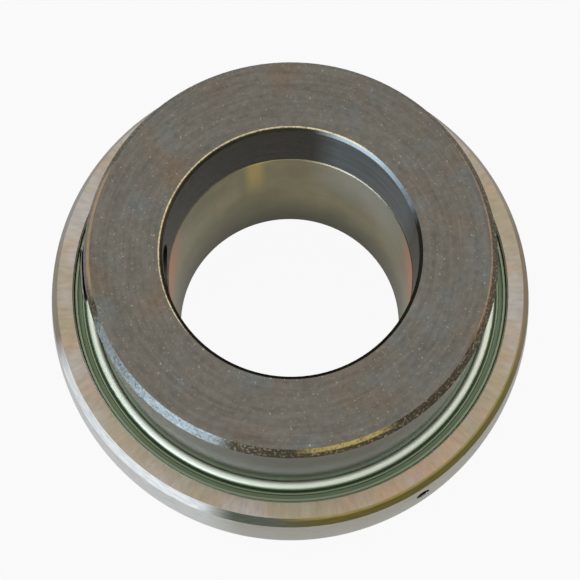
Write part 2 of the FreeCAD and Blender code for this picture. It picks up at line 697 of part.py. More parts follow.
def make_parts():
    """Make every sub-part, from the outer ring inwards and then the collar."""
    parts = [make_outer_ring(), make_inner_ring()]
    parts += [make_ball(index) for index in range(int(number("Sizes.ball_count")))]
    parts += [make_cage_half(1), make_cage_half(-1), make_cage_rivets()]
    for side in (1, -1):
        parts += [make_inner_shield(side), make_seal_lip(side), make_outer_shield(side)]
    return parts + [make_locking_collar(), make_set_screw()]


fill_sheet()
write_parts(make_parts())
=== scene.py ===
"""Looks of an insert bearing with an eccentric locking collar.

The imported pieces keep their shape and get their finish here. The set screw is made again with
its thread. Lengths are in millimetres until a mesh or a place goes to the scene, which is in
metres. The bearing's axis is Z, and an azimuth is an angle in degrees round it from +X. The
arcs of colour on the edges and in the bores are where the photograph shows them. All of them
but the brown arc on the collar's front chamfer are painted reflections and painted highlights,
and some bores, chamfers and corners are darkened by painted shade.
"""

import json
import logging
import math
from collections.abc import Callable
from dataclasses import dataclass, field
from enum import Enum
from functools import cache, partial
from typing import Any

import bmesh
import bpy
from mathutils import Matrix, Vector


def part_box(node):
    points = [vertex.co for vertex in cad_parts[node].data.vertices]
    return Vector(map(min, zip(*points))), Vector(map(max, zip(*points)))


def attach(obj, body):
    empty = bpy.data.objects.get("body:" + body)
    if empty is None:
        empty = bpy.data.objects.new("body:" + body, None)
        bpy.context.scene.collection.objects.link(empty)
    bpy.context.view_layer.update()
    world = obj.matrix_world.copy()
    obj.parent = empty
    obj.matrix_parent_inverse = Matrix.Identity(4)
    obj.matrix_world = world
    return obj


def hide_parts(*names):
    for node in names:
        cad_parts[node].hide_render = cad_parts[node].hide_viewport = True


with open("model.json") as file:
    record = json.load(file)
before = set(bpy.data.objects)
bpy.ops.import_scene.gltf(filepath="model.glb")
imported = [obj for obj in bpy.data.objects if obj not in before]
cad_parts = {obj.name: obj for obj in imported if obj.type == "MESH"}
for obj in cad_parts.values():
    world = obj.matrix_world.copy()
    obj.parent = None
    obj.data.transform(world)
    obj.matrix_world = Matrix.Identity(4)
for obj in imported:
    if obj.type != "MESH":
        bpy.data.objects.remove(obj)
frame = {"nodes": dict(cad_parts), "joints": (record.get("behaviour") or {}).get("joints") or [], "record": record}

log = logging.getLogger("insert_bearing")

MM = 0.001

MATH = "ShaderNodeMath"
VECTOR = "ShaderNodeVectorMath"
RANGE = "ShaderNodeMapRange"
GROUP = "ShaderNodeGroup"


def linear_colour(code: str) -> tuple[float, float, float, float]:
    """Turn an sRGB hex value into the linear colour that a shader takes.

    Args:
        code: The colour as "#RRGGBB".

    Returns:
        Red, green, blue and an alpha of 1.
    """
    channels = [int(code[i : i + 2], 16) / 255 for i in (1, 3, 5)]
    linear = [c / 12.92 if c <= 0.04045 else ((c + 0.055) / 1.055) ** 2.4 for c in channels]
    return (*linear, 1.0)


def add_node(
    tree: bpy.types.NodeTree,
    kind: str,
    settings: dict[str, Any] | None = None,
    inputs: dict[int | str, Any] | None = None,
    output: int | str | None = 0,
) -> Any:
    """Add a node with its settings and its links.

    Args:
        tree: The node tree that gets the node.
        kind: The node's type.
        settings: Its properties.
        inputs: A value, a hex colour or the socket to link, for each input by name or number.
        output: The output that is wanted, by name or number, or None for all of them.

    Returns:
        That output, or all of them.
    """
    node = tree.nodes.new(kind)
    for name, value in (settings or {}).items():
        setattr(node, name, value)
    for key, value in (inputs or {}).items():
        socket = node.inputs[key]
        if isinstance(value, bpy.types.NodeSocket):
            tree.links.new(value, socket)
        elif isinstance(value, str) and value.startswith("#"):
            socket.default_value = linear_colour(value)
        else:
            socket.default_value = value
    return node.outputs[output] if output is not None and len(node.outputs) else node.outputs


def start_group(
    name: str, inputs: dict[str, Any], outputs: dict[str, Any]
) -> tuple[bpy.types.NodeTree, Callable, Any]:
    """Start a group of shader nodes with its sockets.

    Args:
        name: The group's name.
        inputs: Each input's default, a number or a vector, by name.
        outputs: A number or a vector for each output, by name.

    Returns:
        The group, the function that adds nodes to it, and its inputs as sockets to link.
    """
    tree = bpy.data.node_groups.new(name, "ShaderNodeTree")
    for way, sockets in (("INPUT", inputs), ("OUTPUT", outputs)):
        for label, value in sockets.items():
            shape = "NodeSocketVector" if isinstance(value, tuple) else "NodeSocketFloat"
            socket = tree.interface.new_socket(label, in_out=way, socket_type=shape)
            socket.default_value = value
    add = partial(add_node, tree)
    return tree, add, add("NodeGroupInput", output=None)


@cache
def bearing_place() -> bpy.types.NodeTree:
    """Make the group that says where a point lies on the bearing.

    Returns:
        The group, with the radius and the height in millimetres, the azimuth in degrees, how
        far up and how far out the surface faces, the way outwards and the place.
    """
    nowhere = (0.0, 0.0, 0.0)
    outputs = dict.fromkeys(("Radius", "Height", "Azimuth", "Facing Up", "Facing Out"), 0.0)
    outputs.update({"Around": nowhere, "Place": nowhere})
    tree, add, _ = start_group("bearing place", {}, outputs)
    where = add("ShaderNodeTexCoord", output="Object")
    normal = add("ShaderNodeTexCoord", output="Normal")
    place = add(VECTOR, {"operation": "SCALE"}, {0: where, "Scale": 1 / MM})
    across = add(VECTOR, {"operation": "MULTIPLY"}, {0: place, 1: (1, 1, 0)})
    around = add(VECTOR, {"operation": "NORMALIZE"}, {0: across})
    part = add("ShaderNodeSeparateXYZ", None, {0: place}, None)
    angle = add(MATH, {"operation": "ARCTAN2"}, {0: part["Y"], 1: part["X"]})
    found = {
        "Radius": add(VECTOR, {"operation": "LENGTH"}, {0: across}, "Value"),
        "Height": part["Z"],
        "Azimuth": add(MATH, {"operation": "DEGREES"}, {0: angle}),
        "Facing Up": add(VECTOR, {"operation": "DOT_PRODUCT"}, {0: normal, 1: (0, 0, 1)}, 1),
        "Facing Out": add(VECTOR, {"operation": "DOT_PRODUCT"}, {0: normal, 1: around}, 1),
        "Around": around,
        "Place": place,
    }
    add("NodeGroupOutput", None, found)
    return tree


@cache
def soft_band() -> bpy.types.NodeTree:
    """Make the group that is 1 while a value is in a range and fades out past its ends.

    Returns:
        The group, with the value, the range's ends and the width of the fade as its inputs.
    """
    inputs = {"Value": 0.0, "Low": 0.0, "High": 1.0, "Fade": 0.1}
    tree, add, given = start_group("soft band", inputs, {"Mask": 0.0})
    rises = []
    for first, second in (("Value", "Low"), ("High", "Value")):
        inside = add(MATH, {"operation": "SUBTRACT"}, {0: given[first], 1: given[second]})
        share = add(MATH, {"operation": "DIVIDE"}, {0: inside, 1: given["Fade"]})
        rises.append(add(MATH, {"operation": "ADD", "use_clamp": True}, {0: share, 1: 1.0}))
    mask = add(MATH, {"operation": "MULTIPLY"}, {0: rises[0], 1: rises[1]})
    add("NodeGroupOutput", None, {"Mask": mask})
    return tree


@cache
def arc_round() -> bpy.types.NodeTree:
    """Make the group that is 1 on an arc round the axis and fades out past its ends.

    Returns:
        The group, with the arc's middle, half its length and the fade, in degrees, as inputs.
    """
    inputs = {"Middle": 0.0, "Half": 10.0, "Fade": 5.0}
    tree, add, given = start_group("arc round the axis", inputs, {"Mask": 0.0})
    azimuth = add(GROUP, {"node_tree": bearing_place()}, None, "Azimuth")
    off = add(MATH, {"operation": "SUBTRACT"}, {0: azimuth, 1: given["Middle"]})
    wrapped = add(MATH, {"operation": "WRAP"}, {0: off, 1: 180.0, 2: -180.0})
    apart = add(MATH, {"operation": "ABSOLUTE"}, {0: wrapped})
    inside = add(MATH, {"operation": "SUBTRACT"}, {0: given["Half"], 1: apart})
    share = add(MATH, {"operation": "DIVIDE"}, {0: inside, 1: given["Fade"]})
    mask = add(MATH, {"operation": "ADD", "use_clamp": True}, {0: share, 1: 1.0})
    add("NodeGroupOutput", None, {"Mask": mask})
    return tree


@cache
def spots() -> bpy.types.NodeTree:
    """Make the group that lays irregular patches, marks or grains over a surface.

    Returns:
        The group. Extent is a mark's size in millimetres along X, Y and Z, Detail how finely
        it is broken up, and Seed picks the pattern. Noise runs from 0 to 1, and Mask rises from
        0 to 1 between Low and High.
    """
    inputs = {
        "Extent": (1.0, 1.0, 1.0), "Detail": 3.0, "Seed": 0.0, "Low": 0.35, "High": 0.65,
    }
    tree, add, given = start_group("spots", inputs, {"Mask": 0.0, "Noise": 0.0})
    place = add(GROUP, {"node_tree": bearing_place()}, None, "Place")
    laid = add(VECTOR, {"operation": "DIVIDE"}, {0: place, 1: given["Extent"]})
    picked = {"Vector": laid, "W": given["Seed"], "Scale": 1.0, "Detail": given["Detail"]}
    noise = add("ShaderNodeTexNoise", {"noise_dimensions": "4D"}, picked)
    ends = {"Value": noise, "From Min": given["Low"], "From Max": given["High"]}
    mask = add(RANGE, {"interpolation_type": "SMOOTHSTEP"}, ends)
    add("NodeGroupOutput", None, {"Mask": mask, "Noise": noise})
    return tree


@cache
def tool_marks() -> bpy.types.NodeTree:
    """Make the group for the marks of a tool that went round the axis or across it.

    Returns:
        The group. Across is the radius or the height, Along how many marks go by in a
        millimetre of that, and Round how many in a radian about the axis.
    """
    inputs = {"Across": 0.0, "Along": 1.0, "Round": 5.0, "Seed": 0.0}
    tree, add, given = start_group("tool marks", inputs, {"Marks": 0.0})
    around = add(GROUP, {"node_tree": bearing_place()}, None, "Around")
    path = add(VECTOR, {"operation": "SCALE"}, {0: around, "Scale": given["Round"]})
    climb = add(MATH, {"operation": "MULTIPLY"}, {0: given["Across"], 1: given["Along"]})
    rise = add("ShaderNodeCombineXYZ", None, {"Z": climb})
    both = add(VECTOR, {"operation": "ADD"}, {0: path, 1: rise})
    picked = {"Vector": both, "W": given["Seed"], "Scale": 1.0, "Detail": 3.0}
    marks = add("ShaderNodeTexNoise", {"noise_dimensions": "4D"}, picked)
    add("NodeGroupOutput", None, {"Marks": marks})
    return tree


@dataclass
class Coat:
    """A material while it is being made, with where its points lie on the bearing.

    Attributes:
        name: The material's name.
        metallic: 1 for a metal and 0 for rubber.
    """

    name: str
    metallic: float = 1.0
    material: bpy.types.Material = field(init=False)
    add: Callable = field(init=False)
    place: Any = field(init=False)

    def __post_init__(self) -> None:
        """Start the material with an empty tree and the bearing's places."""
        self.material = bpy.data.materials.new(self.name)
        self.material.use_nodes = True
        self.material.node_tree.nodes.clear()
        self.add = partial(add_node, self.material.node_tree)
        self.place = self.add(GROUP, {"node_tree": bearing_place()}, None, None)

    def where(self, *masks: Any) -> Any:
        """Multiply masks.

        Args:
            masks: The masks, and numbers that weaken them.

        Returns:
            The mask that holds where all of them do.
        """
        found = masks[0]
        for mask in masks[1:]:
            found = self.add(MATH, {"operation": "MULTIPLY"}, {0: found, 1: mask})
        return found

    def layers(self, base: Any, *above: tuple[Any, Any]) -> Any:
        """Lay colours one over another.

        Args:
            base: The colour at the bottom.
            above: The mask and the colour of each layer above it, from the bottom up.

        Returns:
            The colour that comes out.
        """
        found = base
        for mask, colour in above:
            settings = {"data_type": "RGBA", "clamp_factor": True}
            found = self.add("ShaderNodeMix", settings, {0: mask, 6: found, 7: colour}, 2)
        return found

    def sway(self, middle: Any, *swings: tuple[Any, float]) -> Any:
        """Swing a number round a middle by patterns.

        Args:
            middle: The number where every pattern is at its mean, 0.5.
            swings: A pattern from 0 to 1, and how far it swings the number from end to end.

        Returns:
            The number that comes out.
        """
        found = middle
        for pattern, reach in swings:
            ends = {"Value": pattern, "To Min": -reach / 2, "To Max": reach / 2}
            swing = self.add(RANGE, None, ends)
            found = self.add(MATH, {"operation": "ADD"}, {0: swing, 1: found})
        return found

    def table(
        self, kind: str, settings: dict[str, Any], columns: tuple[str, ...], **rows: tuple
    ) -> dict[str, Any]:
        """Add a node once for each named row of inputs.

        Args:
            kind: The node's type.
            settings: Its properties.
            columns: The inputs that a row sets.
            rows: The values of those inputs, by the row's name.

        Returns:
            The first output for each row, by the row's name.
        """
        found = {}
        for name, row in rows.items():
            found[name] = self.add(kind, settings, dict(zip(columns, row)))
        return found

    def finish(
        self, colour: Any, roughness: Any, height: Any, depth: float, tint: Any = 1.0
    ) -> bpy.types.Material:
        """Close the material with its shader.

        Args:
            colour: The base colour.
            roughness: The roughness.
            height: The bump's height, from 0 to 1.
            depth: What a height of 1 is, in millimetres.
            tint: How much lighter or darker the colour is, where 1 leaves it.

        Returns:
            The material.
        """
        tinted = self.add(VECTOR, {"operation": "SCALE"}, {0: colour, "Scale": tint})
        relief = {"Height": height, "Distance": depth * MM, "Strength": 1.0}
        inputs = {
            "Base Color": tinted,
            "Metallic": self.metallic,
            "Roughness": roughness,
            "Normal": self.add("ShaderNodeBump", None, relief),
        }
        shader = self.add("ShaderNodeBsdfPrincipled", None, inputs)
        self.add("ShaderNodeOutputMaterial", None, {"Surface": shader})
        return self.material


@dataclass(frozen=True)
class GroundChromeSteel:
    """Hardened chrome steel of the outer ring, ground all over.

    Attributes:
        middle: Height of the balls' plane, in millimetres.
        sphere: Radius of the spherical outside, in millimetres.
        brow: Outer radius of the flat faces, in millimetres.
        name: The material's name.
        face: Colour of the ground faces.
        warm: Their warmer patches.
        cool: Their cooler patches.
        outside: Colour of the finer ground outside.
        bare: The chamfer's pale blue arc, a painted reflection of the cool window lamp.
        damp: Its dark green-grey arc, a painted reflection of dark surroundings.
        oiled: Its olive gold arc, a painted reflection of warm light.
        tinge: Its brown arc, a painted reflection of the warm side lamp.
        gold_glint: The painted highlight along the gold arc's upper edge.
        hole: The painted shade in the radial holes.
        roughness: Roughness of the faces.
        glint_width: Width of that painted highlight, in millimetres.
        hole_zone: How far from the balls' plane a radial hole may lie, in millimetres.
        hole_skin: How far under the sphere a hole's painted shade starts, in millimetres.
    """

    middle: float
    sphere: float
    brow: float
    name: str = "ground chrome steel"
    face: str = "#8B8270"
    warm: str = "#96816E"
    cool: str = "#938E89"
    outside: str = "#A6A49B"
    bare: str = "#EDF3F6"
    damp: str = "#5D6358"
    oiled: str = "#685E2B"
    stained: str = "#7E6A50"
    gold_glint: str = "#A3934F"
    hole: str = "#15130F"
    roughness: float = 0.34
    glint_width: float = 0.2
    hole_zone: float = 6.0
    hole_skin: float = 0.12

    def make(self) -> bpy.types.Material:
        """Make the material.

        Returns:
            The material.
        """
        # Grinding leaves a satin face whose streaks cross the ring and catch the light in turn
        coat = Coat(self.name)
        add, place = coat.add, coat.place
        radius, height = place["Radius"], place["Height"]
        # The face's streaks are about 0.6 mm apart and the outside's marks 0.3 mm, coarser than
        # grinding leaves them, or they wouldn't show
        cut = coat.table(
            GROUP,
            {"node_tree": tool_marks()},
            ("Across", "Along", "Round", "Seed"),
            streaks=(radius, 0.6, 56.0, 1.0),
            honed=(height, 3.0, 20.0, 2.0),
        )
        level = add(MATH, {"operation": "ABSOLUTE"}, {0: place["Facing Up"]})
        on = coat.table(
            GROUP,
            {"node_tree": soft_band()},
            ("Value", "Low", "High", "Fade"),
            face=(level, 0.95, 1.1, 0.05),
            corner=(level, 0.4, 0.58, 0.04),
            brow=(radius, self.brow, self.brow + self.glint_width, 0.15),
            hole_out=(radius, self.brow, self.sphere, 0.8),
            hole_up=(height, self.middle - self.hole_zone, self.middle + self.hole_zone, 0.5),
        )
        # A radial hole's wall lies under the sphere, outside the raceway, and gets painted shade
        centre = {0: place["Place"], 1: (0.0, 0.0, self.middle)}
        apart = add(VECTOR, {"operation": "DISTANCE"}, centre, "Value")
        under = self.sphere - self.hole_skin
        sunk = add(MATH, {"operation": "LESS_THAN"}, {0: apart, 1: under})
        in_hole = coat.where(sunk, on["hole_out"], on["hole_up"])

        patches = coat.table(
            GROUP,
            {"node_tree": spots()},
            ("Extent", "Seed", "Low", "High"),
            warm=((9.0, 9.0, 9.0), 3.0, 0.45, 0.62),
            cool=((9.0, 9.0, 9.0), 4.0, 0.45, 0.62),
        )
        face = coat.layers(self.face, (patches["warm"], self.warm), (patches["cool"], self.cool))
        # Arcs round the axis where the chamfer gets painted reflections: pale blue, dark, olive gold and brown
        arcs = coat.table(
            GROUP,
            {"node_tree": arc_round()},
            ("Middle", "Half", "Fade"),
            bare=(226.0, 24.0, 9.0),
            damp=(266.0, 9.0, 9.0),
            oiled=(312.0, 34.0, 12.0),
            stained=(0.0, 14.0, 9.0),
        )
        # The chamfer gets its painted reflections and the painted highlight along the gold arc's edge
        corner = coat.layers(
            face,
            (arcs["bare"], self.bare),
            (arcs["damp"], self.damp),
            (arcs["oiled"], self.oiled),
            (arcs["stained"], self.stained),
            (coat.where(arcs["oiled"], on["brow"]), self.gold_glint),
        )
        # The pale painted reflection also lies faintly on the outside
        outside = coat.layers(self.outside, (coat.where(arcs["bare"], 0.5), self.bare))
        colour = coat.layers(
            outside, (on["face"], face), (on["corner"], corner), (in_hole, self.hole)
        )
        both = {0: on["face"], 2: cut["honed"], 3: cut["streaks"]}
        marks = add("ShaderNodeMix", {"data_type": "FLOAT"}, both)
        tint = coat.sway(1.05, (marks, 0.8), (cut["honed"], 0.12))
        roughness = coat.sway(self.roughness, (marks, 0.16))
        return coat.finish(colour, roughness, marks, 0.006, tint)


@dataclass(frozen=True)
class HonedChromeSteel:
    """Hardened chrome steel of the inner ring, its bore ground and honed.

    Attributes:
        rim: Height of the bore's upper edge, in millimetres.
        name: The material's name.
        steel: Colour of the steel.
        oiled: Its browner patches.
        warm_reflection: Painted warm reflections at the left and the right of the upper edge.
        streak: The painted yellow highlight down the bore.
        sheen: The painted pale sheen on an arc beside the upper edge.
        shade: The painted shade, darker towards the far end of the bore.
        edge: The painted highlight along the upper edge.
        roughness: Roughness of the bore.
    """

    rim: float
    name: str = "honed chrome steel"
    steel: str = "#ABA27A"
    oiled: str = "#918960"
    warm_reflection: str = "#EC9C5A"
    streak: str = "#D2BC6A"
    sheen: str = "#C9CFC9"
    shade: str = "#3C3620"
    edge: str = "#D6CBA8"
    roughness: float = 0.3

    def make(self) -> bpy.types.Material:
        """Make the material.

        Returns:
            The material.
        """
        # Honing leaves a soft gloss that stretches highlights along the bore, khaki under oil
        coat = Coat(self.name)
        add, place = coat.add, coat.place
        height = place["Height"]
        # The lay is about 0.4 mm apart, coarser than honing leaves it, or it wouldn't show
        circling = {"Across": height, "Along": 2.8, "Round": 7.0, "Seed": 1.0}
        lays = add(GROUP, {"node_tree": tool_marks()}, circling)
        running = {"Extent": (1.6, 1.6, 20.0), "Seed": 2.0}
        runs = add(GROUP, {"node_tree": spots()}, running, "Noise")
        pooled = {"Extent": (9.0, 9.0, 9.0), "Seed": 3.0, "Low": 0.3, "High": 0.7}
        oil = add(GROUP, {"node_tree": spots()}, pooled)
        on = coat.table(
            GROUP,
            {"node_tree": soft_band()},
            ("Value", "Low", "High", "Fade"),
            upper=(height, self.rim - 5.0, self.rim, 9.0),
            lower=(height, -1.0, 1.0, 12.0),
            edge=(height, self.rim - 0.4, self.rim, 0.1),
        )
        wall = add(MATH, {"operation": "LESS_THAN"}, {0: place["Facing Out"], 1: -0.5})
        upper = coat.where(wall, on["upper"])
        arcs = coat.table(
            GROUP,
            {"node_tree": arc_round()},
            ("Middle", "Half", "Fade"),
            left=(190.0, 14.0, 22.0),
            right=(352.0, 12.0, 20.0),
            run=(108.0, 2.0, 4.0),
            sheen=(50.0, 12.0, 22.0),
        )
        sides = add(MATH, {"operation": "MAXIMUM"}, {0: arcs["left"], 1: arcs["right"]})
        # Painted shade deep in the bore, and painted reflections and highlights near its upper edge
        colour = coat.layers(
            self.steel,
            (oil, self.oiled),
            (coat.where(wall, on["lower"], 0.8), self.shade),
            (coat.where(arcs["run"], upper), self.streak),
            (coat.where(arcs["sheen"], upper, 0.6), self.sheen),
            (coat.where(sides, upper), self.warm_reflection),
            (coat.where(on["edge"], 0.5), self.edge),
        )
        tint = coat.sway(0.96, (lays, 0.2), (runs, 0.22))
        return coat.finish(colour, coat.sway(self.roughness, (lays, 0.14)), lays, 0.004, tint)


@dataclass(frozen=True)
class BlackOxideSteel:
    """Turned steel with a black oxide, worn at its edges.

    Attributes:
        outside: The collar's radius in millimetres.
        bore: The collar's bore radius in millimetres.
        face: Height of the collar's face in millimetres.
        name: The material's name.
        oxide: Main colour of the oxide.
        brown: Its warmer patches.
        blue: Its cooler patches.
        side: The smoother turned outside.
        deep: The oxide on the chamfers, darker than on the face as painted shade.
        wall: The oxide in the bore and on its chamfer, darker as painted shade.
        silver: The front chamfer's blue-grey arc, a painted window reflection.
        tan: Its brown arc, as of oxide that is rubbed thin.
        gold: Glints along an edge.
        copper: The thin painted highlight of the warm lamp at the face's edge.
        cream: The pale painted highlight at the mouth of the bore.
        sky: The painted pale blue reflection on an arc of the bore's chamfer and wall.
        fleck: The fine bright flecks.
        chamfer_width: Front chamfer across the face, in millimetres.
        bore_chamfer: Chamfer of the bore, in millimetres.
        roughness: Roughness of the face.
        side_share: The side's roughness as a share of the face's.
    """

    outside: float
    bore: float
    face: float
    name: str = "black oxide steel"
    oxide: str = "#605D57"
    brown: str = "#6B543F"
    blue: str = "#5C676A"
    side: str = "#A29B9C"
    deep: str = "#4A4539"
    wall: str = "#38372C"
    silver: str = "#98A5AA"
    tan: str = "#B09672"
    gold: str = "#BBA96C"
    copper: str = "#90765E"
    cream: str = "#CFC3A0"
    sky: str = "#8F9DA4"
    fleck: str = "#CDC1A2"
    chamfer_width: float = 0.95
    bore_chamfer: float = 0.48
    roughness: float = 0.4
    side_share: float = 0.7

    def make(self) -> bpy.types.Material:
        """Make the material.

        Returns:
            The material.
        """
        # Black oxide keeps the lathe's rings in view and darkens the steel without a skin of its
        # own, so an edge that is rubbed shines through. The arcs and thin lines on its edges, but
        # for the brown arc, are painted highlights and painted reflections, and the bore gets
        # painted shade
        coat = Coat(self.name)
        add, place = coat.add, coat.place
        radius, height = place["Radius"], place["Height"]
        # The face's rings are about 0.4 mm apart and the bore's grooves 0.7 mm, coarser than a
        # lathe's fine feed, or they wouldn't show
        cut = coat.table(
            GROUP,
            {"node_tree": tool_marks()},
            ("Across", "Along", "Round", "Seed"),
            rings=(radius, 2.4, 3.5, 1.0),
            waves=(radius, 0.6, 3.0, 2.0),
            grooves=(height, 1.4, 2.0, 3.0),
        )
        fine = {"Extent": (0.8, 0.8, 0.8), "Seed": 4.0, "Detail": 6.0}
        grain = add(GROUP, {"node_tree": spots()}, fine, "Noise")
        marks = coat.table(
            GROUP,
            {"node_tree": spots()},
            ("Extent", "Detail", "Seed", "Low", "High"),
            brown=((8.0, 8.0, 8.0), 3.0, 5.0, 0.48, 0.7),
            blue=((8.0, 8.0, 8.0), 3.0, 6.0, 0.48, 0.7),
            flecks=((0.3, 0.3, 0.3), 2.0, 7.0, 0.62, 0.78),
            chips=((0.35, 0.35, 0.35), 4.0, 8.0, 0.5, 0.7),
            scuffs=((0.3, 0.3, 0.3), 5.0, 9.0, 0.2, 0.6),
        )
        scuffs = marks["scuffs"]

        brow, mouth = self.outside - self.chamfer_width, self.bore + self.bore_chamfer
        on = coat.table(
            GROUP,
            {"node_tree": soft_band()},
            ("Value", "Low", "High", "Fade"),
            slope=(place["Facing Up"], 0.53, 0.78, 0.03),
            steep=(place["Facing Up"], -0.3, 0.3, 0.05),
            lip=(radius, brow - 0.1, brow + 0.1, 0.06),
            rim=(radius, mouth - 0.06, mouth + 0.05, 0.08),
            high=(height, self.face - 0.55, self.face + 1, 0.15),
        )
        high = on["high"]
        outer = add(MATH, {"operation": "GREATER_THAN"}, {0: place["Facing Out"], 1: 0.5})
        inner = add(MATH, {"operation": "LESS_THAN"}, {0: place["Facing Out"], 1: -0.5})
        side, bore = coat.where(on["steep"], outer), coat.where(on["steep"], inner)
        arcs = coat.table(
            GROUP,
            {"node_tree": arc_round()},
            ("Middle", "Half", "Fade"),
            tan=(174.0, 14.0, 8.0),
            silver=(226.0, 22.0, 6.0),
            gold=(286.0, 9.0, 6.0),
            copper=(4.0, 26.0, 8.0),
            cream=(135.0, 76.0, 12.0),
            sky=(46.0, 22.0, 12.0),
        )

        face = coat.layers(
            self.oxide,
            (coat.where(marks["brown"], 0.35), self.brown),
            (coat.where(marks["blue"], 0.5), self.blue),
            (coat.where(marks["flecks"], 0.4), self.fleck),
        )
        # The bore's wall and chamfer: oxide with painted shade, and a painted pale blue reflection on an arc
        wall = coat.layers(self.wall, (coat.where(arcs["sky"], 0.6), self.sky))
        countersink = coat.layers(self.wall, (coat.where(arcs["sky"], 0.9), self.sky))
        # The front chamfer: chips, a brown arc, a painted cool reflection and painted gold glints
        bevel = coat.layers(
            self.deep,
            (coat.where(marks["chips"], 0.45), self.fleck),
            (coat.where(arcs["tan"], 0.45), self.side),
            (coat.where(arcs["tan"], high), self.tan),
            (coat.where(arcs["silver"], scuffs), self.silver),
            (coat.where(arcs["gold"], high, scuffs), self.gold),
        )
        colour = coat.layers(
            face,
            (coat.where(on["slope"], outer), bevel),
            (coat.where(on["slope"], inner), countersink),
            (side, self.side),
            (bore, wall),
            # Thin painted highlights at the face's edge and at the mouth of the bore
            (coat.where(on["lip"], high, arcs["copper"], scuffs), self.copper),
            (coat.where(on["rim"], high, arcs["cream"], scuffs), self.cream),
        )
        tint = coat.sway(1.0, (cut["rings"], 0.6), (cut["waves"], 0.3), (grain, 0.9))
        bored = coat.sway(1.0, (cut["grooves"], 1.4), (grain, 0.3))
        rough = coat.sway(self.roughness, (grain, 0.18))
        blend = {"data_type": "FLOAT"}
        tint = add("ShaderNodeMix", blend, {0: bore, 2: tint, 3: bored})
        tint = add("ShaderNodeMix", blend, {0: side, 2: tint, 3: 1.0})
        smoother = self.roughness * self.side_share
        roughness = add("ShaderNodeMix", blend, {0: side, 2: rough, 3: smoother})
        relief = add(MATH, {"operation": "ADD"}, {0: cut["rings"], 1: grain})
        return coat.finish(colour, roughness, relief, 0.007, tint)


@dataclass(frozen=True)
class BlackOxideScrewSteel:
    """Alloy steel of the set screw, with a black oxide and oil.

    Attributes:
        axis: The screw's direction, outwards.
        end: Its outer end from the bearing's axis, in millimetres.
        name: The material's name.
        oxide: Colour of the oxide.
        rubbed: Colour where it is rubbed, and of the pale line at the outer end's edge.
        bright: Where the bright edge starts and stops, in millimetres under the end.
        roughness: Its roughness.
    """

    axis: tuple[float, float, float]
    end: float
    name: str = "black oxide screw steel"
    oxide: str = "#201E1D"
    rubbed: str = "#A3A29C"
    bright: tuple[float, float] = (0.3, 0.12)
    roughness: float = 0.36

    def make(self) -> bpy.types.Material:
        """Make the material.

        Returns:
            The material.
        """
        # Oil in the oxide makes it almost black; a thin pale line goes round the outer end's edge
        coat = Coat(self.name)
        add = coat.add
        fine = {"Extent": (0.4, 0.4, 0.4), "Detail": 4.0, "Seed": 1.0, "Low": 0.6, "High": 0.75}
        grain = add(GROUP, {"node_tree": spots()}, fine, None)
        dot = {0: coat.place["Place"], 1: self.axis}
        along = add(VECTOR, {"operation": "DOT_PRODUCT"}, dot, 1)
        low, high = (self.end - depth for depth in self.bright)
        brink = {"Value": along, "Low": low, "High": high, "Fade": 0.06}
        edge = add(GROUP, {"node_tree": soft_band()}, brink)
        colour = coat.layers(
            self.oxide,
            (coat.where(grain["Mask"], 0.3), self.rubbed),
            (coat.where(edge, 0.8), self.rubbed),
        )
        roughness = coat.sway(self.roughness, (grain["Noise"], 0.18))
        return coat.finish(colour, roughness, grain["Noise"], 0.006)


